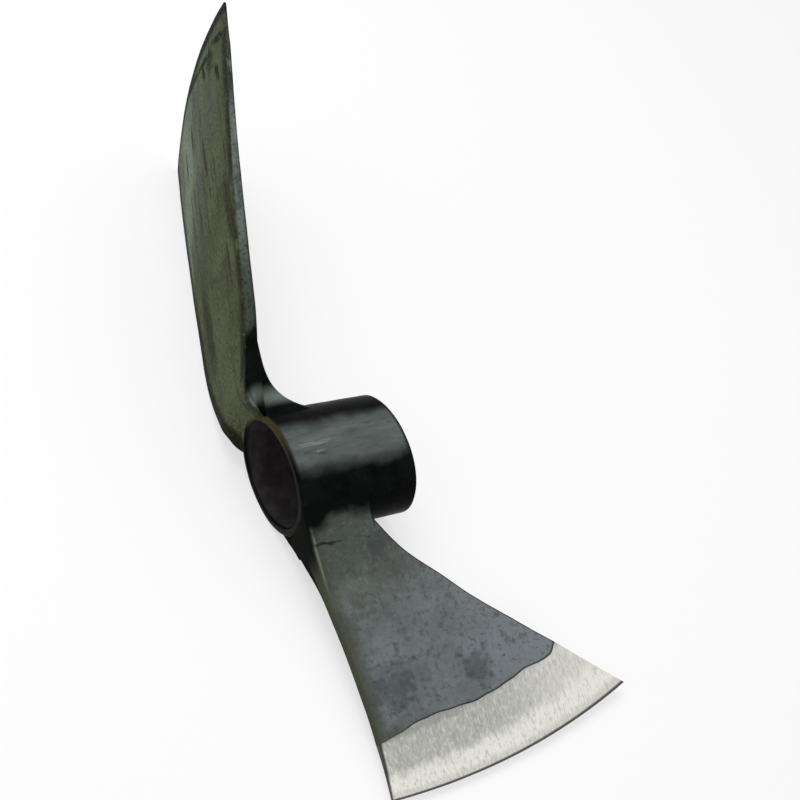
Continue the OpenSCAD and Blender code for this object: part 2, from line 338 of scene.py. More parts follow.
def bar_faces(rows, cols):
    """Quads of a closed bar: its skin and both its ends."""
    return grid_faces(rows, cols, loop_cols=True) + end_faces(0, cols) + end_faces((rows - 1) * cols, cols)


def merge_points(points, faces):
    """Indices of the points to keep, and the faces on them, with points at the same place joined."""
    rounded = np.round(points, MERGE_DIGITS)
    _, kept, index = np.unique(rounded, axis=0, return_index=True, return_inverse=True)
    index = index.ravel().tolist()
    faces = [tuple(dict.fromkeys(index[i] for i in face)) for face in faces]
    return kept, [face for face in faces if len(face) > 2]


def turn_faces_outward(mesh):
    build = bmesh.new()
    build.from_mesh(mesh)
    bmesh.ops.recalc_face_normals(build, faces=build.faces[:])
    build.to_mesh(mesh)
    build.free()


def add_object(name, data):
    """A new object with this mesh, lamp or camera, in the scene."""
    thing = bpy.data.objects.new(name, data)
    bpy.context.scene.collection.objects.link(thing)
    return thing


def make_piece(name, points, faces, place, rim, dents, node, material):
    """One piece from points in the head's axes.

    place and rim go to the material: where on the piece a point is, and how far from the piece's rim.
    """
    flat = points.reshape(-1, 3)
    kept, faces = merge_points(flat, faces)
    flat, place, rim = flat[kept], place.reshape(-1, 3)[kept], rim.ravel()[kept]
    mesh = bpy.data.meshes.new(name)
    mesh.from_pydata(flat.tolist(), [], faces)
    turn_faces_outward(mesh)
    normals = np.empty(len(flat) * 3)
    mesh.vertex_normals.foreach_get("vector", normals)
    lift = sum(depth * unevenness(flat, size) for size, depth in dents)
    flat = flat + normals.reshape(-1, 3) * lift[:, None]
    mesh.vertices.foreach_set("co", in_frame(flat).ravel())
    mesh.update()
    mesh.shade_smooth()
    mesh.set_sharp_from_angle(angle=SHARP_ANGLE)
    places = mesh.attributes.new("place", "FLOAT_VECTOR", "POINT")
    places.data.foreach_set("vector", place.ravel())
    rims = mesh.attributes.new("rim", "FLOAT", "POINT")
    rims.data.foreach_set("value", rim)
    mesh.materials.append(material)
    piece = add_object(name, mesh)
    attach(piece, "root")
    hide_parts(node)


def edge_v(u, depth):
    """The cutting edge, which is where both plates end."""
    return np.ones_like(u)


# Hoe plate's form
def hoe_flank(y):
    """Half the plate's width from the shoulder to the edge, and its straight run below the shoulder."""
    t = (y - HOE_SHOULDER_REACH) / (HOE_REACH - HOE_SHOULDER_REACH)
    rise = HOE_STRAIGHT_SHARE * t + (1 - HOE_STRAIGHT_SHARE) * np.where(t > 0, t * t, 0)
    return lerp(HOE_SHOULDER_W, HOE_EDGE_W, rise) / 2


def hoe_half_width(y):
    """Half the plate's width, with the flare where its sides run out on the eye."""
    s = past(y, EYE_R, HOE_SHOULDER_REACH)
    neck = (hoe_flank(EYE_R) - HOE_NECK_W / 2) * (1 - s**HOE_SHOULDER_EASE) ** HOE_SHOULDER_POWER
    foot = FOOT_FLARE * np.clip(1 - (y - FOOT_LOW) / FOOT_H, 0, FOOT_FLARE_MOST_SHARE) ** 2
    return hoe_flank(np.maximum(y, EYE_R)) - neck + foot


def hoe_foot_x(y, z):
    """Where the outer face meets the eye: flush with its leaning end, sunk into its wall further round."""
    round_the_eye = np.abs(np.arctan2(z, y))
    runout = ease((round_the_eye - FOOT_RUNOUT) / FOOT_RUNOUT)
    return -EYE_LEN / 2 - y * EYE_FRONT_LEAN - FOOT_PROUD + FOOT_SINK * runout


def hoe_face_x(y, z):
    """The outer face: a gently curved sweep, bent back to the eye at its foot."""
    t = (y - EYE_R) / (HOE_REACH - EYE_R)
    s = unit((np.hypot(y, z) - EYE_R) / HOE_NECK_BEND_H)
    sweep = -HOE_FRONT + (HOE_SWEEP - HOE_CURVE) * t + HOE_CURVE * t * t
    return lerp(sweep, hoe_foot_x(y, z), (1 - s) ** 2)


def hoe_thick(v):
    body = lerp(HOE_ROOT_T, HOE_SEAM_T, v / HOE_SEAM_V)
    bit = lerp(HOE_SEAM_T, HOE_EDGE_T, (v - HOE_SEAM_V) / (1 - HOE_SEAM_V))
    return np.where(v < HOE_SEAM_V, body, bit)


def hoe_point(u, v, depth):
    """A point of the plate: u across from -1 to 1, v from root to edge, depth from outer face to back."""
    side_y = lerp(HOE_SUNK_Y, HOE_REACH, v)
    near_side = past(np.abs(u), HOE_CORNER_ACROSS_SHARE)
    near_edge = past(v, HOE_CORNER_ALONG_SHARE)
    corner = HOE_CORNER_PULL * near_side**2 * near_edge**2
    y = lerp(HOE_SUNK_Y, HOE_REACH + HOE_EDGE_BULGE * (1 - u * u), v) - corner
    z = u * hoe_half_width(side_y)
    bevel = HOE_OUTER_BEVEL_SHARE * (HOE_SEAM_T - HOE_EDGE_T) * past(v, HOE_SEAM_V)
    face = hoe_face_x(y, z) - HOE_CAMBER * (1 - u * u) * ease(v) + bevel
    return np.stack([face + depth * hoe_thick(v), y, z], -1)


def hoe_root_v(u, depth):
    """Where the plate ends inside the eye's wall, which leaves the bore clear."""
    y = np.sqrt(HOE_ROOT_R**2 - (hoe_half_width(FOOT_LOW) * u) ** 2)
    return (y - HOE_SUNK_Y) / HOE_RUN


def hoe_seam_v(u, depth):
    """The scarfed seam, nearer to the edge on the outer face than on the back, and a little wavy."""
    return HOE_SEAM_V - HOE_SCARF_V * depth + waves(u, HOE_SEAM_WAVES) / HOE_RUN


def hoe_part(name, start, end, rows, node, material):
    """The stretch of the hoe plate between two lines across it."""
    wide, deep, out_w, out_d = bar_loop(face_points=96, corner_points=5, side_points=3)
    s = np.linspace(0, 1, rows)[:, None]
    v = lerp(start(wide, (deep + 1) / 2), end(wide, (deep + 1) / 2), s)
    half_w = hoe_half_width(lerp(HOE_SUNK_Y, HOE_REACH, v))
    half_t = hoe_thick(v) / 2
    rounding = lerp(FOOT_ROUND, HOE_ROUND, ease(past(v, *HOE_ROUND_FULL_SHARES)))
    arc = np.minimum(rounding, HOE_ROUND_MOST_SHARE * half_t)
    u = (wide * (half_w - arc) + out_w * arc) / half_w
    depth = 0.5 + (deep * (half_t - arc) + out_d * arc) / (2 * half_t)
    v = lerp(start(u, depth), end(u, depth), s)
    points = hoe_point(u, v, depth)
    z = points[..., 2]
    place = np.stack([z, (1 - v) * HOE_RUN, depth], -1)
    rim = half_w - np.abs(z)
    faces = bar_faces(rows, len(wide))
    make_piece(name, points, faces, place, rim, HOE_DENTS, node, material)


# Fillets, which fan out from a base inside the metal
def fan_out(base, curve, sunk, rounding, deep, out_d):
    """Points from a fillet's base to its face, the arcs at its ends, and the points' shares of the way."""
    reach = curve - base
    full = np.linalg.norm(reach, axis=-1)
    length = full - sunk
    arc = np.minimum(rounding, WELD_ROUND_MOST_SHARE * length)
    depth = deep * (length - arc) + out_d * arc
    return base + reach * (depth / full)[..., None], arc, unit(depth / length)


# Fillet behind the hoe, from the eye's crown up the plate's back
def hoe_flank_angle(radius):
    """How far round the eye's axis the plate's side stands at this distance from it."""
    y = np.linspace(FOOT_LOW - FOOT_MARGIN, HOE_SHOULDER_REACH, FLANK_SAMPLES)
    z = hoe_half_width(y)
    return np.interp(radius, np.hypot(y, z), np.arctan2(z, y))


def hoe_fillet_curve(wide, t):
    """The face from its toe on the eye to its top on the plate: place along the eye, and radius."""
    top_v = (EYE_R + HOE_WELD_H - HOE_SUNK_Y) / HOE_RUN
    slope = (HOE_SWEEP - HOE_CURVE) / (HOE_REACH - EYE_R)
    back = hoe_point(wide, np.full_like(wide, top_v), np.ones_like(wide))
    top_r = np.hypot(back[:, 1], back[:, 2])
    toe_r = EYE_R - HOE_WELD_TOE_SUNK_SHARE * HOE_WELD_SUNK
    toe = np.array([HOE_WELD_LEN + HOE_ROOT_T - HOE_FRONT, toe_r])
    top = np.stack([back[:, 0] - HOE_WELD_SUNK, top_r], -1)
    corner = np.stack([top[:, 0] - slope * (top_r - EYE_R), np.full_like(top_r, EYE_R)], -1)
    corner = lerp(corner, (toe + top) / 2, HOE_WELD_FULL_SHARE)
    return bezier([toe, corner, top], t)


def hoe_fillet_base(wide):
    """The line inside the eye's wall from which the fillet fans out."""
    root_y = HOE_ROOT_R * np.cos(wide * hoe_flank_angle(HOE_ROOT_R))
    base_x = -EYE_LEN / 2 - root_y * EYE_FRONT_LEAN + HOE_WELD_BASE_INSET
    return np.stack([base_x, np.full_like(base_x, HOE_ROOT_R)], -1)


def hoe_fillet(material):
    """Drawn along the eye and out from its axis, then each column is turned round the axis."""
    wide, deep, out_w, out_d = strip_loop(face_points=64, corner_points=6, side_points=8)
    rows = 70
    t = np.linspace(0, 1, rows)[:, None]
    base = hoe_fillet_base(wide)
    profile, arc, way = fan_out(base, hoe_fillet_curve(wide, t), 0.0, HOE_WELD_ROUND, deep, out_d)
    bow = HOE_WELD_BOW * ease(past(t, HOE_WELD_BOW_FROM_SHARE))
    profile[..., 0] -= bow * np.sin(math.pi * way)

    ends = np.broadcast_to(base, profile[:1].shape)
    profile = np.concatenate([ends, profile, ends])
    end_rows = ((1, 1), (0, 0))
    sunk = np.pad(1 - way, end_rows, constant_values=1.0)
    arc = np.pad(arc, end_rows)
    rise = np.pad(t, end_rows, mode="edge")

    radius = profile[..., 1]
    dive = ease(past(rise, HOE_WELD_DIVE_FROM_SHARE))
    proud = lerp(HOE_WELD_PROUD, -HOE_WELD_TOP_SUNK_SHARE * HOE_WELD_SUNK, dive)
    proud = lerp(proud, -HOE_WELD_SUNK, sunk**HOE_WELD_TAPER_POWER)
    half_w = radius * hoe_flank_angle(radius) + proud
    angle = (wide * (half_w - arc) + out_w * arc) / radius
    points = np.stack([profile[..., 0], radius * np.cos(angle), radius * np.sin(angle)], -1)
    place = np.stack([points[..., 2], HOE_REACH - points[..., 1], points[..., 0]], -1)
    rim = half_w - np.abs(angle) * radius
    faces = grid_faces(rows + 2, len(wide))
    make_piece(
        "hoe_root_fillet", points, faces, place, rim, HOE_WELD_DENTS,
        "hoe_root_weld", material,
    )


# Axe plate's form
def axe_half_thick(y, v):
    s = unit((-y - EYE_R) / AXE_FLARE_H)
    body = lerp(AXE_BODY_T, AXE_ROOT_T, (1 + np.cos(math.pi * s)) / 2)
    bevel = lerp(AXE_BODY_T, AXE_KEEN_T, (v - AXE_SEAM_V) / (AXE_KEEN_V - AXE_SEAM_V))
    keen = lerp(AXE_KEEN_T, AXE_EDGE_T, (v - AXE_KEEN_V) / (1 - AXE_KEEN_V))
    return np.where(v <= AXE_SEAM_V, body, np.where(v < AXE_KEEN_V, bevel, keen)) / 2


def axe_side(root, end, shares, v):
    """A side of the plate in plan, which runs straight up into the eye where v is below 0."""
    way = np.subtract(end, root)
    side = np.array(root) + way * bezier(shares, np.maximum(v, 0))
    side[..., 1] -= AXE_RUN * np.minimum(v, 0)
    return side


def axe_front_side(v):
    return axe_side((-AXE_NECK_FRONT, -EYE_R), (-AXE_TOE_FRONT, -AXE_TOE_REACH), AXE_FRONT_SHARES, v)


def axe_hand_side(v):
    side = axe_side((AXE_NECK_BACK, -EYE_R), (AXE_HEEL_BACK, -AXE_HEEL_REACH), AXE_HAND_SHARES, v)
    side[..., 0] += swell(v, *AXE_HAND_SWELL)
    return side


def axe_plan(u, v):
    """A point of the plate in plan: u from the front side to the hand side, v from the eye to the edge."""
    chord = np.array([AXE_HEEL_BACK + AXE_TOE_FRONT, AXE_TOE_REACH - AXE_HEEL_REACH])
    outward = np.array([chord[1], -chord[0]]) / np.linalg.norm(chord)
    arch = 4 * u * (1 - u)
    bulge = AXE_EDGE_BULGE * arch * np.maximum(v, 0) ** 2
    return lerp(axe_front_side(v), axe_hand_side(v), u[..., None]) + outward * bulge[..., None]


def axe_root_v(u, z):
    """Where the plate ends inside the eye's wall."""
    return np.full_like(u, (AXE_ROOT_R - EYE_R) / AXE_RUN)


def axe_seam_v(u, z):
    """The uneven upper limit of the ground band, with a hook at its hand end."""
    sag = AXE_SEAM_SAG * ease(past(u, *AXE_SEAM_SAG_SHARES))
    hook = AXE_SEAM_HOOK * ease(past(u, AXE_SEAM_HOOK_FROM_SHARE))
    offset = sag - hook + waves(u, AXE_SEAM_WAVES)
    for hump in AXE_SEAM_SWELLS:
        offset = offset + swell(u, *hump)
    return AXE_SEAM_V + offset / AXE_RUN


def axe_part(name, start, end, rows, node, material, lip, dents):
    """The stretch of the axe plate between two lines across it, with a lip of this height at its end."""
    wide, deep, out_w, out_d = bar_loop(face_points=104, corner_points=5, side_points=3)
    s = np.linspace(0, 1, rows)[:, None]
    u = (wide + 1) / 2
    z = np.zeros_like(u)
    for _ in range(AXE_ROUND_PASSES):
        v = lerp(start(u, z), end(u, z), s)
        length = np.linalg.norm(axe_hand_side(v) - axe_front_side(v), axis=-1)
        plan = axe_plan(u, v)
        half_t = axe_half_thick(plan[..., 1], v)
        near_front = unit(1 - u * length / AXE_FRONT_BEVEL_W)
        half_t = half_t - AXE_FRONT_BEVEL_DROP * near_front**2 * unit(half_t / AXE_FRONT_BEVEL_FULL_T)
        half_t = half_t + lip * ease(past(s, AXE_SEAM_LIP_FROM_SHARE))
        arc = np.minimum(AXE_ROUND, AXE_ROUND_MOST_SHARE * half_t)
        u = 0.5 + (wide * (length / 2 - arc) + out_w * arc) / length
        z = deep * (half_t - arc) + out_d * arc
    v = lerp(start(u, z), end(u, z), s)
    plan = axe_plan(u, v)
    points = np.concatenate([plan, z[..., None]], -1)
    place = np.stack([points[..., 0], (1 - v) * AXE_RUN, z], -1)
    rim = np.minimum(u, 1 - u) * length
    to_end = (1 - s) * (end(u, z) - start(u, z)) * AXE_RUN
    if lip:
        rim = np.minimum(rim, to_end + AXE_SEAM_DARK_INSET)
    faces = bar_faces(rows, len(wide))
    make_piece(name, points, faces, place, rim, dents, node, material)


# Fillets between the eye and the axe's cheeks
def axe_fillet_curve(wide, t):
    """The face from its uneven foot on the cheek to its crest on the eye: Y, and height."""
    foot_y = -EYE_R - AXE_WELD_H
    toe = AXE_WELD_TOE * lerp(1.0, AXE_WELD_TOE_HAND_SHARE, ease(past(wide, *AXE_WELD_TOE_FADE_SHARES)))
    plate = axe_half_thick(foot_y, 0.0)
    foot = np.stack([foot_y + waves(wide, AXE_WELD_FOOT_WAVES), plate + toe], -1)
    crest = EYE_R * np.array([-math.cos(AXE_WELD_CLIMB), math.sin(AXE_WELD_CLIMB)])
    corner = np.array([-EYE_R, AXE_ROOT_T / 2])
    hollow = lerp((foot + crest) / 2, corner, AXE_WELD_HOLLOW_SHARE)
    return bezier([foot, hollow, crest], t)


def axe_fillet(side, name, node, material):
    """The fillet on the upper cheek where side is 1, and on the lower one where it is -1."""
    wide, deep, out_w, out_d = strip_loop(face_points=56, corner_points=5, side_points=6)
    rows = 44
    t = np.linspace(0, 1, rows)[:, None]
    base = np.array([-EYE_R - AXE_WELD_BASE_DROP, AXE_WELD_BASE_Z])
    sunk = AXE_WELD_SUNK * ease(past(t, AXE_WELD_SUNK_FROM_SHARE))
    flat, arc, way = fan_out(base, axe_fillet_curve(wide, t), sunk, AXE_WELD_ROUND, deep, out_d)
    v = (-flat[..., 0] - EYE_R) / AXE_RUN
    front, hand = axe_front_side(v)[..., 0], axe_hand_side(v)[..., 0]
    middle = (front + hand) / 2
    half_w = (hand - front) / 2 - AXE_WELD_TAPER * (1 - way) ** 2
    x = middle + wide * (half_w - arc) + out_w * arc
    points = np.stack([x, flat[..., 0], side * flat[..., 1]], -1)

    base_x = middle[0, 0] + wide * half_w[0, 0]
    ends = np.stack([base_x, np.full_like(wide, base[0]), np.full_like(wide, side * base[1])], -1)[None]
    points = np.concatenate([ends, points, ends])
    rim = half_w - np.abs(x - middle)
    rim = np.concatenate([rim[:1], rim, rim[-1:]])
    place = np.stack([points[..., 0], AXE_TOE_REACH + points[..., 1], points[..., 2]], -1)
    faces = grid_faces(rows + 2, len(wide))
    make_piece(name, points, faces, place, rim, AXE_WELD_DENTS, node, material)


# Tube of the eye: a closed profile with leaning ends, turned once round the axis
def eye_tube(material):
    angle = np.linspace(0, 2 * math.pi, EYE_COLUMNS, endpoint=False)
    around = np.stack([np.zeros(EYE_COLUMNS), np.cos(angle), np.sin(angle)], -1)
    wander = RIM_WANDER * unevenness(around, RIM_WANDER_SPREAD_SHARE)

    def end_x(radius, sign):
        """The leaning end at this radius: the front one where sign is -1, the hand one where it is 1."""
        lean = EYE_FRONT_LEAN if sign < 0 else EYE_HAND_LEAN
        return sign * EYE_LEN / 2 - radius * np.cos(angle) * lean + sign * wander

    def half_profile(sign):
        """From the bore's middle over the rim to the middle of the outside: x and radius by angle."""
        line = [(sign * BORE_HALF * share, BORE_R) for share in BORE_SHARES]
        lip = end_x(BORE_R, sign)
        lip_r = BORE_R + MOUTH_SLOPE * (np.abs(lip) - BORE_HALF)
        for share in MOUTH_SHARES:
            line.append((lerp(sign * BORE_HALF, lip, share), lerp(BORE_R, lip_r, share)))
        for turn in BORE_RIM_TURN_SHARES * math.pi / 2:
            radius = lip_r + BORE_RIM_ROUND * (1 - math.cos(turn))
            line.append((end_x(radius, sign) - sign * BORE_RIM_ROUND * (1 - math.sin(turn)), radius))
        for turn in RIM_TURN_SHARES * math.pi / 2:
            radius = EYE_R - RIM_ROUND * (1 - math.sin(turn))
            line.append((end_x(radius, sign) - sign * RIM_ROUND * (1 - math.cos(turn)), radius))
        outer = end_x(EYE_R, sign) - sign * RIM_ROUND
        return line + [(lerp(outer, 0, share), EYE_R) for share in OUTSIDE_SHARES]

    profile = half_profile(-1)[1:] + half_profile(1)[-2::-1]
    x = np.array([np.broadcast_to(p[0], EYE_COLUMNS) for p in profile])
    radius = np.array([np.broadcast_to(p[1], EYE_COLUMNS) for p in profile])
    points = np.stack([x, radius * np.cos(angle), radius * np.sin(angle)], -1)
    end_gap = np.minimum(x - end_x(radius, -1), end_x(radius, 1) - x)
    # How far inside the bore a point is, which is where the bore's painted light goes
    inside = past(radius - BORE_R, *BORE_LIGHT_WALL) * past(end_gap, *BORE_LIGHT_INSET)
    from_axe = np.broadcast_to(np.degrees(np.abs(angle - math.pi)), x.shape)
    place = np.stack([from_axe, x, inside], -1)
    rim = np.minimum(x - end_x(EYE_R, -1), end_x(EYE_R, 1) - x)
    faces = grid_faces(len(profile), EYE_COLUMNS, loop_rows=True, loop_cols=True)
    make_piece(
        "eye_tube", points, faces, place, rim, EYE_DENTS,
        "eye_socket", material,
    )


# Material helpers
def tone(red, green, blue):
    """A colour as seen on a screen, from 0 to 255, as the linear colour that a shader takes."""
    shares = [c / 255 for c in (red, green, blue)]
    linear = [c / 12.92 if c <= 0.04045 else ((c + 0.055) / 1.055) ** 2.4 for c in shares]
    return (*linear, 1.0)


def feed(tree, socket, value):
    """Links a socket to another one, or sets it to a plain value."""
    if isinstance(value, bpy.types.NodeSocket):
        tree.links.new(value, socket)
    else:
        socket.default_value = value


def add_node(tree, kind, inputs=None, **settings):
    node = tree.nodes.new(kind)
    for name, value in settings.items():
        setattr(node, name, value)
    for key, value in (inputs or {}).items():
        feed(tree, node.inputs[key], value)
    return node


# Parts of a noise's range: where most of it lies, and the wider stretch that spread takes
NOISE_CORE = (0.36, 0.64)
NOISE_RANGE = (0.3, 0.7)

# Ragged outline of a patch: size of its noise, and how far out it fades from none to full
PATCH_RAG_SIZE = 4.0
PATCH_FADE_SHARES = (1.15, 0.45)


class Paint:
    """A node material under construction, with short names for the nodes that the steels share."""

    def __init__(self, name, metallic, specular):
        self.material = bpy.data.materials.new(name)
        self.material.use_nodes = True
        self.tree = self.material.node_tree
        self.shader = self.tree.nodes["Principled BSDF"]
        self.shader.inputs["Metallic"].default_value = metallic
        self.shader.inputs["Specular IOR Level"].default_value = specular
        self.place = self.node("ShaderNodeAttribute", attribute_name="place").outputs["Vector"]
        parts = self.node("ShaderNodeSeparateXYZ", {"Vector": self.place})
        self.x, self.y, self.z = (parts.outputs[axis] for axis in "XYZ")
        self.rim = self.node("ShaderNodeAttribute", attribute_name="rim").outputs["Fac"]
        self.spot = self.node("ShaderNodeTexCoord").outputs["Object"]
        self.colour = WHITE

    def node(self, kind, inputs=None, **settings):
        return add_node(self.tree, kind, inputs, **settings)

    def math(self, operation, a, b=0.0):
        return self.node("ShaderNodeMath", {0: a, 1: b}, operation=operation).outputs[0]

    def times(self, *values):
        product = values[0]
        for value in values[1:]:
            product = self.math("MULTIPLY", product, value)
        return product

    def noise(self, vector, scale, detail, roughness):
        inputs = {"Vector": vector, "Scale": scale, "Detail": detail, "Roughness": roughness}
        return self.node("ShaderNodeTexNoise", inputs).outputs["Fac"]

    def grain(self, sizes, detail=4.0, roughness=0.55, offset=0.0):
        """Noise on the piece's own places, in millimetres, as long and as wide as these three sizes."""
        scaled = self.node(
            "ShaderNodeVectorMath",
            {0: self.place, 1: tuple(1 / size for size in sizes), 2: (offset, offset, offset)},
            operation="MULTIPLY_ADD",
        )
        return self.noise(scaled.outputs[0], 1.0, detail, roughness)

    def mottle(self, size, detail=4.0, roughness=0.55):
        """Noise in space with blotches of this size in millimetres."""
        return self.noise(self.spot, 1 / (size * MM), detail, roughness)

    def ramp(self, value, low, high):
        """0 where the value is at low, 1 where it is at high, eased between."""
        inputs = {"Value": value, "From Min": low, "From Max": high}
        return self.node("ShaderNodeMapRange", inputs, interpolation_type="SMOOTHSTEP").outputs["Result"]

    def zone(self, limits):
        """1 inside a zone, 0 outside: limits give, for x, y, z or rim, its start and where it is full."""
        return self.times(*(self.ramp(getattr(self, axis), *ends) for axis, ends in limits.items()))

    def band(self, value, middle, half_width):
        """1 where the value is at the middle, falling to 0 at half a width from it."""
        away = self.math("ABSOLUTE", self.math("SUBTRACT", value, middle))
        return self.ramp(away, half_width, 0.0)

    def spread(self, value, low, high):
        """Takes a noise from its usual range to between these two values."""
        from_min, from_max = NOISE_RANGE
        inputs = {"Value": value, "From Min": from_min, "From Max": from_max, "To Min": low, "To Max": high}
        return self.node("ShaderNodeMapRange", inputs).outputs["Result"]

    def shaken(self, value, texture, by):
        """The value, moved by a noise as far as this much either way."""
        return self.math("ADD", value, self.spread(texture, -by, by))

    def patch(self, x, y, half_across, half_along, turn=0.0, ragged=0.5):
        """A ragged stain round a place on the piece, turned from y towards x by these degrees."""
        dx = self.math("SUBTRACT", self.x, x)
        dy = self.math("SUBTRACT", self.y, y)
        c, s = math.cos(math.radians(turn)), math.sin(math.radians(turn))
        across = self.math("SUBTRACT", self.times(dx, c / half_across), self.times(dy, s / half_across))
        along = self.math("ADD", self.times(dx, s / half_along), self.times(dy, c / half_along))
        away = self.math("SQRT", self.math("ADD", self.times(across, across), self.times(along, along)))
        rag = self.times(self.math("SUBTRACT", self.mottle(PATCH_RAG_SIZE), 0.5), 2 * ragged)
        return self.ramp(self.math("ADD", away, rag), *PATCH_FADE_SHARES)

    def mix(self, factor, a, b):
        return self.node("ShaderNodeMix", {0: factor, 6: a, 7: b}, data_type="RGBA").outputs[2]

    def over(self, base, colour, *shares):
        """A colour laid over a base, as thick as the product of these shares."""
        return self.mix(self.times(*shares), base, colour)

    def lay(self, colour, *shares):
        """Lays a colour over the paint's own, as thick as the product of these shares."""
        self.colour = self.over(self.colour, colour, *shares)

    def finish(self, roughness, height, relief):
        """Sets the paint's colour, its roughness and a bump of this relief in millimetres on the shader."""
        bump = self.node("ShaderNodeBump", {"Strength": 1.0, "Distance": relief * MM, "Height": height})
        feed(self.tree, self.shader.inputs["Base Color"], self.colour)
        feed(self.tree, self.shader.inputs["Roughness"], roughness)
        feed(self.tree, self.shader.inputs["Normal"], bump.outputs[0])
        return self.material


# Marks on the hoe: place across and from the edge, half sizes across and along, turn in degrees if any
HOE_PALE_MARKS = (
    (-24.0, 20.0, 10.0, 16.0),
    (-16.0, 34.0, 9.0, 18.0),
    (-29.0, 48.0, 9.0, 20.0),
    (-38.0, 72.0, 5.0, 28.0),
)
HOE_DARK_MARKS = (
    (-17.0, 114.0, 7.5, 25.0, 5.0),
    (-6.0, 29.0, 2.2, 9.0),
    (-22.0, 30.0, 1.6, 10.0, 4.0),
    (26.0, 108.0, 2.2, 11.0),
    (12.0, 52.0, 2.2, 13.0, 4.0),
    (32.0, 15.0, 6.0, 7.0),
    (35.0, 90.0, 6.0, 20.0, 2.0),
)
HOE_SEAM_MARKS = (
    (44.0, 11.4, 2.3, 10.0, 75.0),
    (25.0, 10.6, 2.0, 9.0, 80.0),
    (3.0, 5.9, 2.0, 17.0, 76.0),
    (40.5, 26.0, 2.4, 6.0, 25.0),
    (22.0, 15.0, 2.0, 5.0, 20.0),
)
HOE_FOOT_MARK = (0.0, 152.0, 14.0, 18.0)

# Zones of the hoe, from none to full: x across, y from the cutting edge, z share of depth, and the rim
HOE_OUTER_ZONE = {"z": (0.3, 0.02)}
HOE_PALE_ZONE = {"x": (45.0, -25.0), "y": (90.0, 30.0)}
HOE_BLUE_ZONE = {"y": (105.0, 60.0)}
HOE_SIDE_ZONE = {"z": (0.04, 0.2), "rim": (1.4, 0.4)}
HOE_SIDE_DIM_ZONE = {"y": (92.0, 128.0)}
HOE_SIDE_TIP_ZONE = {"y": (54.0, 34.0)}
HOE_SIDE_PALE_ZONE = {"y": (95.0, 75.0)}
HOE_SIDE_BACK_ZONE = {"z": (0.7, 0.9)}
HOE_SIDE_SHADE_FROM = (139.5, 143.5)
HOE_SIDE_SHADE_LEAN = 3.0
HOE_FOOT_LIGHT_ZONE = {"z": (0.04, 0.3), "rim": (1.4, 0.4)}
HOE_CORNER_ZONE = {"x": (0.0, 15.0), "rim": (6.0, 1.8)}
HOE_OUTLINE_ZONE = {"x": (0.0, -10.0), "rim": (9.0, 4.6)}
HOE_BACK_ROOT_ZONE = {"y": (110.0, 150.0), "z": (0.6, 0.98), "rim": (0.6, 2.2)}
HOE_LIP_ZONE = {"y": (6.0, 3.2)}
FILLET_FOOT_LIGHT_ZONE = {"rim": (1.6, 0.5)}

# Painted light on the foot of the hoe and of its fillet, where the facet turns up to the lamp: middle and
# half width, from the cutting edge
HOE_FOOT_LIGHT = (163.5, 6.0)
FILLET_FOOT_LIGHT = (162.5, 5.0)


def hoe_side_steel(p):
    """Barer steel on the plate's narrow sides, with painted shade in black at the foot by the eye."""
    steel = p.mix(p.zone(HOE_SIDE_DIM_ZONE), tone(100, 107, 102), tone(65, 73, 67))
    steel = p.over(steel, tone(58, 61, 56), p.zone(HOE_SIDE_TIP_ZONE))
    slip = p.grain(sizes=(4.0, 13.0, 0.8), detail=5.0, roughness=0.6, offset=6.6)
    steel = p.over(steel, tone(52, 58, 54), p.ramp(slip, 0.5, 0.38), 0.6)
    steel = p.over(steel, tone(124, 131, 127), p.ramp(slip, 0.54, 0.66), p.zone(HOE_SIDE_PALE_ZONE), 0.6)
    steel = p.over(steel, tone(40, 45, 43), p.zone(HOE_SIDE_BACK_ZONE), 0.75)
    # Painted shade: black over the sides' foot by the eye
    low = p.math("ADD", p.y, p.times(p.z, HOE_SIDE_SHADE_LEAN))
    return p.over(steel, tone(9, 11, 10), p.ramp(low, *HOE_SIDE_SHADE_FROM))


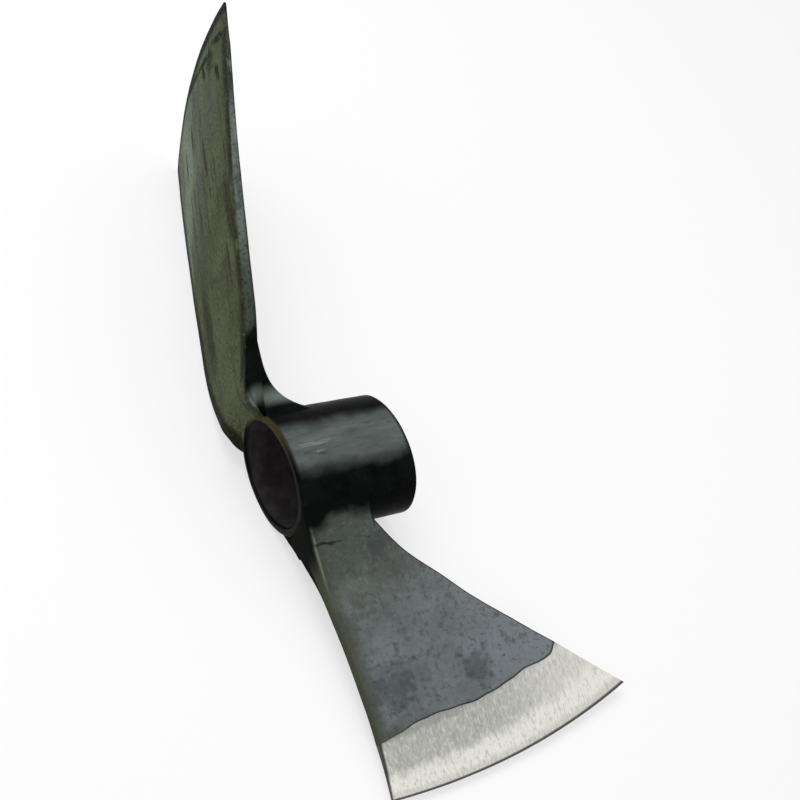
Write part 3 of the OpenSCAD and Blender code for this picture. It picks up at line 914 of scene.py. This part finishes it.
def olive_scale():
    """Olive grey scale of the hoe, with barer sides."""
    p = Paint("olive_scale", metallic=0.0, specular=0.012)
    cloud = p.mottle(size=24.0, detail=5.0, roughness=0.6)
    streak = p.grain(sizes=(5.0, 48.0, 0.7), detail=5.0, roughness=0.62)
    fine = p.mottle(size=1.4, detail=6.0, roughness=0.65)
    outer = p.zone(HOE_OUTER_ZONE)
    p.colour = p.mix(p.ramp(cloud, *NOISE_CORE), tone(70, 74, 51), tone(89, 95, 72))

    # Pale, blue and dark streaks along the plate
    p.lay(tone(114, 124, 106), p.zone(HOE_PALE_ZONE), p.ramp(streak, 0.32, 0.56))
    blue = p.ramp(p.grain(sizes=(10.0, 22.0, 0.6), offset=3.7), 0.48, 0.62)
    p.lay(tone(82, 93, 85), blue, p.zone(HOE_BLUE_ZONE), 0.7)
    p.lay(tone(46, 49, 31), p.ramp(streak, 0.47, 0.33), 0.65)

    # Marks on the outer face
    for mark in HOE_PALE_MARKS:
        p.lay(tone(128, 138, 120), p.patch(*mark), outer, 0.85)
    for mark in HOE_DARK_MARKS:
        p.lay(tone(46, 48, 29), p.patch(*mark), outer, 0.88)
    for mark in HOE_SEAM_MARKS:
        p.lay(tone(24, 28, 11), p.patch(*mark, ragged=0.7), outer, 0.95)
    p.lay(tone(92, 97, 75), p.patch(*HOE_FOOT_MARK), outer, 0.6)

    # Narrow sides, with painted shade in black at their foot and a painted light band where they run out on
    # the eye
    p.lay(hoe_side_steel(p), p.zone(HOE_SIDE_ZONE))
    p.lay(tone(104, 114, 107), p.band(p.y, *HOE_FOOT_LIGHT), p.zone(HOE_FOOT_LIGHT_ZONE))

    # Dark scale along the upper corner, the lower outline, the back's root and the cutting edge
    broken = p.ramp(p.grain(sizes=(40.0, 22.0, 0.5), offset=5.2), 0.36, 0.5)
    p.lay(tone(31, 34, 18), p.zone(HOE_CORNER_ZONE), outer, broken, 0.85)
    p.lay(tone(22, 24, 17), p.zone(HOE_OUTLINE_ZONE), outer, 0.9)
    p.lay(tone(26, 29, 27), p.zone(HOE_BACK_ROOT_ZONE), 0.85)
    p.lay(tone(20, 22, 16), p.zone(HOE_LIP_ZONE), 0.92)

    # Fine pits and pale grains
    p.lay(tone(34, 36, 24), p.ramp(fine, 0.5, 0.36), 0.6)
    p.lay(tone(106, 112, 98), p.ramp(fine, 0.54, 0.68), outer, 0.4)
    roughness = p.spread(cloud, 0.5, 0.64)
    height = p.math("ADD", p.times(fine, 0.5), p.times(streak, 0.8))
    return p.finish(roughness, height, relief=0.2)


# Zones and marks of the eye: x degrees from the axe, y along the eye, z inside of the bore, and the rim
# Painted highlight: a light band along the eye's flank, in place of the overhead lamp's reflection
EYE_SHEEN_MIDDLE = 91.0
EYE_SHEEN_ROUND = (31.0, 9.0)
EYE_SHEEN_SHAKE = 5.0
EYE_SHEEN_ZONE = {"rim": (0.4, 2.4)}
EYE_SCUFF_MARK = (90.0, -12.0, 8.0, 10.0)
# Brown scale on the front rim, laid only on its upper part as painted light from above
EYE_LIP_ZONE = {"x": (70.0, 115.0), "y": (0.0, -15.0), "rim": (2.4, 0.6)}
EYE_LIP_LIT_HEIGHT = (0.0, 6.0 * MM)


def black_scale(name):
    """Black scale of the eye and of the fillet on it, before their own marks."""
    p = Paint(name, metallic=0.0, specular=0.012)
    cloud = p.mottle(size=13.0, detail=5.0, roughness=0.6)
    fine = p.mottle(size=1.2, detail=6.0, roughness=0.65)
    p.colour = p.mix(p.ramp(cloud, *NOISE_CORE), tone(7, 9, 8), tone(17, 20, 18))
    rust = p.ramp(p.mottle(size=5.0, detail=5.0), 0.58, 0.72)
    p.lay(tone(36, 31, 22), rust, 0.3)
    p.lay(tone(36, 40, 38), p.ramp(fine, 0.54, 0.7), 0.25)
    roughness = p.spread(cloud, 0.27, 0.4)
    height = p.math("ADD", p.times(fine, 0.5), p.times(cloud, 0.7))
    return p, roughness, height


def eye_steel():
    """Black scale of the eye, with a painted highlight band along its flank, brown painted light on the
    upper front rim and painted light in the bore.
    """
    p, roughness, height = black_scale("eye_black_scale")
    outside = p.math("SUBTRACT", 1.0, p.z)

    # Painted highlight band along the flank, broken by darker flecks, and a scuff
    from_band = p.math("ABSOLUTE", p.math("SUBTRACT", p.x, EYE_SHEEN_MIDDLE))
    ragged = p.shaken(from_band, p.mottle(size=14.0), EYE_SHEEN_SHAKE)
    sheen_band = p.times(p.ramp(ragged, *EYE_SHEEN_ROUND), outside, p.zone(EYE_SHEEN_ZONE))
    soft = p.spread(p.grain(sizes=(9.0, 16.0, 1.0), detail=5.0, roughness=0.6), 0.55, 1.0)
    p.lay(tone(98, 106, 103), sheen_band, soft)
    sheen_breaks = p.ramp(p.grain(sizes=(3.5, 9.0, 1.0), detail=5.0, offset=2.1), 0.4, 0.33)
    p.lay(tone(46, 50, 48), sheen_band, sheen_breaks, 0.45)
    scratched = p.ramp(p.grain(sizes=(2.5, 10.0, 1.0), detail=5.0, offset=4.4), 0.5, 0.6)
    p.lay(tone(124, 131, 127), p.patch(*EYE_SCUFF_MARK, ragged=1.0), outside, scratched, 0.8)

    # Brown scale on the upper front rim, kept above the eye's middle height as painted light from above;
    # and painted light in the bore
    up = p.node("ShaderNodeSeparateXYZ", {"Vector": p.spot}).outputs["Z"]
    p.lay(tone(60, 56, 33), p.zone(EYE_LIP_ZONE), p.ramp(up, *EYE_LIP_LIT_HEIGHT), 0.9)
    bore = p.mix(p.ramp(p.mottle(size=7.0), 0.4, 0.62), tone(44, 41, 44), tone(57, 53, 53))
    p.lay(bore, p.z)
    roughness = p.math("MAXIMUM", roughness, p.times(p.z, 0.62))
    return p.finish(roughness, height, relief=0.18)


def fillet_steel():
    """Black scale of the hoe's fillet, with a painted light band at its foot."""
    p, roughness, height = black_scale("fillet_black_scale")
    p.lay(tone(104, 114, 107), p.band(p.y, *FILLET_FOOT_LIGHT), p.zone(FILLET_FOOT_LIGHT_ZONE))
    return p.finish(roughness, height, relief=0.18)


# Marks on the axe: place along the eye and from the cutting edge, and half sizes
AXE_DARK_MARKS = (
    (-6.0, 36.0, 12.0, 9.0),
    (31.0, 28.0, 8.0, 6.0),
    (7.0, 83.0, 6.0, 9.0),
)
AXE_GAP_MARK = (-15.0, 94.2, 8.0, 1.0)

# Zones of the axe, from none to full: x along the eye, y from the cutting edge, z up, and the rim
AXE_FRONT_X = (0.0, -10.0)
AXE_HIGH_ZONE = {"y": (40.0, 75.0)}
AXE_HAND_ZONE = {"x": (5.0, 60.0), "y": (80.0, 45.0)}
AXE_ROOT_ZONE = {"y": (70.0, 88.0)}
AXE_OLIVE_ZONE = {"x": AXE_FRONT_X, "rim": (7.5, 1.0)}
AXE_EDGE_ZONE = {"rim": (1.3, 0.4)}
AXE_OLIVE_EDGE_ZONE = {"x": AXE_FRONT_X, "y": (93.0, 80.0), "z": (-1.7, -0.5)}
AXE_EDGE_HIGHLIGHT_ZONE = {"x": AXE_FRONT_X, "y": (74.0, 86.0)}
AXE_EDGE_HIGHLIGHT_LINE = (1.7, 0.7)
AXE_INNER_ZONE = {"rim": (1.0, 2.5)}
# Painted shade on the fillets, black where they meet the eye
AXE_CREST_ZONE = {"y": (85.0, 95.0)}
AXE_CREST_UP = (10.8, 13.8)
AXE_CREST_SHAKE = 1.0
AXE_CREST_FRONT_ZONE = {"x": (-8.0, -17.0)}
AXE_CREST_FRONT_RISE = 1.6


def axe_crest_shade(p):
    """Painted shade: black on the fillets where they meet the eye, with a ragged limit."""
    up = p.shaken(p.math("ABSOLUTE", p.z), p.mottle(size=8.0, detail=2.0), AXE_CREST_SHAKE)
    up = p.math("ADD", up, p.times(p.zone(AXE_CREST_FRONT_ZONE), AXE_CREST_FRONT_RISE))
    return p.times(p.ramp(up, *AXE_CREST_UP), p.zone(AXE_CREST_ZONE))


def grey_scale():
    """Mottled grey scale of the axe, with an olive front."""
    p = Paint("grey_scale", metallic=0.0, specular=0.02)
    cloud = p.mottle(size=15.0, detail=6.0, roughness=0.66)
    small = p.mottle(size=4.0, detail=5.0, roughness=0.62)
    fine = p.mottle(size=1.1, detail=6.0, roughness=0.7)

    # Blue grey near the band, paler to the hand, greener to the root
    clouded = p.ramp(cloud, *NOISE_CORE)
    low = p.mix(clouded, tone(93, 99, 100), tone(110, 117, 120))
    high = p.mix(clouded, tone(82, 87, 82), tone(99, 105, 101))
    p.colour = p.mix(p.zone(AXE_HIGH_ZONE), low, high)
    p.lay(tone(122, 128, 132), p.zone(AXE_HAND_ZONE), 0.8)
    p.lay(tone(74, 81, 73), p.zone(AXE_ROOT_ZONE), 0.7)

    # Mottling, specks and dark marks
    p.lay(tone(68, 73, 70), p.ramp(small, 0.48, 0.34), 0.35)
    specks = p.mottle(size=2.0, detail=5.0, roughness=0.65)
    p.lay(tone(68, 74, 71), p.ramp(specks, 0.47, 0.36), 0.4)
    p.lay(tone(122, 129, 128), p.ramp(specks, 0.54, 0.66), 0.25)
    blot = 0.0
    for mark in AXE_DARK_MARKS:
        blot = p.math("MAXIMUM", p.patch(*mark, ragged=1.2), blot)
    p.lay(tone(62, 67, 69), blot, 0.5)
    p.lay(tone(24, 28, 24), p.patch(*AXE_GAP_MARK, ragged=0.8), 0.85)

    # Olive front, painted shade in black on the narrow sides, and a painted highlight line beside the front
    # edge
    p.lay(tone(68, 70, 57), p.zone(AXE_OLIVE_ZONE), 0.75)
    # Painted shade: near black narrow sides, with olive on the upper half of the front side by the root
    edge = p.zone(AXE_EDGE_ZONE)
    p.lay(p.mix(p.zone(AXE_OLIVE_EDGE_ZONE), tone(13, 14, 12), tone(72, 76, 60)), edge, 0.95)
    # Painted highlight along the rounded front edge by the root
    p.lay(tone(126, 133, 127), p.band(p.rim, *AXE_EDGE_HIGHLIGHT_LINE), p.zone(AXE_EDGE_HIGHLIGHT_ZONE), 0.6)

    # Fine grains and pits, and black painted shade by the eye
    p.lay(tone(134, 140, 139), p.ramp(fine, 0.6, 0.74), p.zone(AXE_INNER_ZONE), 0.4)
    p.lay(tone(50, 53, 51), p.ramp(fine, 0.44, 0.32), 0.4)
    p.lay(tone(10, 12, 11), axe_crest_shade(p))
    roughness = p.math("MAXIMUM", p.spread(cloud, 0.36, 0.48), p.times(edge, 0.85))
    height = p.math("ADD", p.times(fine, 0.5), p.times(small, 0.8))
    return p.finish(roughness, height, relief=0.18)


# Zones of the ground band, with the axes of the axe's plate
GROUND_HAND_ZONE = {"x": (25.0, 75.0)}
GROUND_KEEN_FROM = (AXE_KEEN_W + 2.4, AXE_KEEN_W - 2.4)
GROUND_KEEN_SHAKE = 1.8
GROUND_DULL_FROM = (3.4, 1.4)
GROUND_DULL_SHAKE = 1.0
GROUND_STAIN_FROM = (AXE_BIT_W - 2.2, AXE_BIT_W + 1.0)
GROUND_STAIN_SHAKE = 0.8
GROUND_EDGE_SHADE_ZONE = {"y": (1.0, 0.45)}
GROUND_FRONT_ZONE = {"x": AXE_FRONT_X, "rim": (1.0, 0.3)}


def ground_steel():
    """Bright band of the axe, ground across its edge."""
    p = Paint("ground_steel", metallic=0.6, specular=0.3)
    scratch = p.grain(sizes=(0.3, 6.0, 4.0), detail=5.0, roughness=0.7)
    hatch = p.grain(sizes=(0.9, 4.0, 4.0), detail=4.0, roughness=0.65, offset=6.3)
    p.colour = p.mix(p.ramp(hatch, *NOISE_CORE), tone(163, 165, 159), tone(183, 183, 177))
    p.lay(tone(222, 220, 214), p.zone(GROUND_HAND_ZONE), 0.7)

    # Keen strip along the edge, duller at its very rim
    ragged = p.grain(sizes=(4.0, 6.0, 4.0), detail=6.0, roughness=0.65, offset=2.2)
    keen = p.ramp(p.shaken(p.y, ragged, GROUND_KEEN_SHAKE), *GROUND_KEEN_FROM)
    p.lay(tone(231, 228, 221), keen, 0.9)
    dull = p.ramp(p.shaken(p.y, hatch, GROUND_DULL_SHAKE), *GROUND_DULL_FROM)
    p.lay(tone(194, 193, 186), dull, 0.7)

    # Scratches and flecks of the coarse stone
    p.lay(tone(139, 139, 134), p.ramp(scratch, 0.48, 0.3), 0.45)
    fleck = p.grain(sizes=(0.9, 1.7, 4.0), detail=3.0, roughness=0.6, offset=9.1)
    p.lay(tone(146, 146, 141), p.ramp(fleck, 0.46, 0.34), 0.4)
    p.lay(tone(240, 238, 233), p.ramp(fleck, 0.54, 0.66), 0.3)

    # Stain by the seam, and painted shade: a dark line on the cutting edge and a dark front side
    stain = p.ramp(p.shaken(p.y, p.mottle(size=2.5), GROUND_STAIN_SHAKE), *GROUND_STAIN_FROM)
    p.lay(tone(104, 106, 102), stain, 0.45)
    p.lay(tone(40, 41, 39), p.zone(GROUND_EDGE_SHADE_ZONE), 0.9)
    p.lay(tone(24, 25, 24), p.zone(GROUND_FRONT_ZONE), 0.9)
    roughness = p.spread(scratch, 0.5, 0.64)
    return p.finish(roughness, scratch, relief=0.05)


# Studio
def white_where_seen(tree, strength):
    """This strength, or 1 where the camera, a reflection or glass sees the surface."""
    paths = add_node(tree, "ShaderNodeLightPath")
    for ray in SEEN_RAYS:
        inputs = {0: strength, 1: paths.outputs[ray]}
        strength = add_node(tree, "ShaderNodeMath", inputs, operation="MAXIMUM").outputs[0]
    return strength


def floor_piece():
    """A wide pale floor under the head, which is partly plain white where it is seen."""
    corners = [(-1, -1), (1, -1), (1, 1), (-1, 1)]
    points = [(x * FLOOR_HALF, y * FLOOR_HALF, FLOOR_Z * MM) for x, y in corners]
    mesh = bpy.data.meshes.new("studio_floor")
    mesh.from_pydata(points, [], [(0, 1, 2, 3)])
    material = bpy.data.materials.new("pale_floor")
    material.use_nodes = True
    tree = material.node_tree
    shader = tree.nodes["Principled BSDF"]
    shader.inputs["Base Color"].default_value = FLOOR_COLOUR
    shader.inputs["Roughness"].default_value = FLOOR_ROUGHNESS
    shader.inputs["Specular IOR Level"].default_value = 0.0
    white = add_node(tree, "ShaderNodeEmission")
    inputs = {0: white_where_seen(tree, 0.0), 1: FLOOR_WHITE_SHARE}
    share = add_node(tree, "ShaderNodeMath", inputs, operation="MULTIPLY").outputs[0]
    blend = add_node(tree, "ShaderNodeMixShader", {0: share, 1: shader.outputs[0], 2: white.outputs[0]})
    tree.links.new(blend.outputs[0], tree.nodes["Material Output"].inputs["Surface"])
    mesh.materials.append(material)
    floor = add_object("studio_floor", mesh)


def soft_lamp(name, direction, distance, size, power):
    """A square soft box that looks at the middle of the head from this direction."""
    lamp = bpy.data.lights.new(name, "AREA")
    lamp.size = size
    lamp.energy = power
    holder = add_object(name, lamp)
    way = Vector(direction).normalized()
    holder.location = HEAD_MIDDLE + way * distance
    holder.rotation_euler = way.to_track_quat("Z", "Y").to_euler()


def studio_world():
    """A dim room whose ceiling is brighter than its walls, and white where it is seen."""
    world = bpy.data.worlds.new("studio")
    bpy.context.scene.world = world
    world.use_nodes = True
    tree = world.node_tree
    place = add_node(tree, "ShaderNodeTexCoord")
    split = add_node(tree, "ShaderNodeSeparateXYZ", {"Vector": place.outputs["Generated"]})
    heights = {"Value": split.outputs["Z"], "From Min": WALL_TOP_SHARE, "From Max": 1.0}
    lights = {"To Min": WALL_LIGHT, "To Max": CEILING_LIGHT}
    rise = add_node(tree, "ShaderNodeMapRange", heights | lights, interpolation_type="SMOOTHSTEP")
    background = tree.nodes["Background"]
    background.inputs["Color"].default_value = WHITE
    tree.links.new(white_where_seen(tree, rise.outputs["Result"]), background.inputs["Strength"])


def photo_camera():
    """The camera of the photograph, above the outer side of the head."""
    data = bpy.data.cameras.new("photo_camera")
    data.lens = CAMERA_LENS
    data.sensor_width = CAMERA_SENSOR
    data.clip_start = CAMERA_NEAR
    camera = add_object("photo_camera", data)
    laid = Matrix.Rotation(REST_TILT, 4, "X")
    turn = Euler([math.radians(a) for a in CAMERA_TURN], "XYZ").to_matrix().to_4x4()
    camera.matrix_world = laid @ Matrix.Translation(Vector(CAMERA_PLACE) * MM) @ turn
    bpy.context.scene.camera = camera


# The head
olive = olive_scale()
grey = grey_scale()
eye_tube(eye_steel())
hoe_part("hoe_plate", hoe_root_v, hoe_seam_v, rows=150, node="hoe_blade", material=olive)
hoe_part("hoe_steel_edge", hoe_seam_v, edge_v, rows=26, node="hoe_edge", material=olive)
hoe_fillet(fillet_steel())
axe_part(
    "axe_plate", axe_root_v, axe_seam_v, rows=110, node="axe_blade",
    material=grey, lip=AXE_SEAM_LIP, dents=AXE_DENTS,
)
axe_part(
    "axe_ground_edge", axe_seam_v, edge_v, rows=30, node="axe_edge",
    material=ground_steel(), lip=0.0, dents=AXE_EDGE_DENTS,
)
axe_fillet(1, "axe_root_fillet_upper", "axe_root_weld_upper", grey)
axe_fillet(-1, "axe_root_fillet_lower", "axe_root_weld_lower", grey)

# Its studio
floor_piece()
studio_world()
photo_camera()
soft_lamp("key_box", direction=(-0.18, 0.32, 0.92), distance=1.0, size=0.6, power=4.5)
soft_lamp("fill_box", direction=(-0.9, -0.1, 0.5), distance=1.1, size=0.8, power=0.9)

bpy.context.scene.view_settings.view_transform = "Standard"
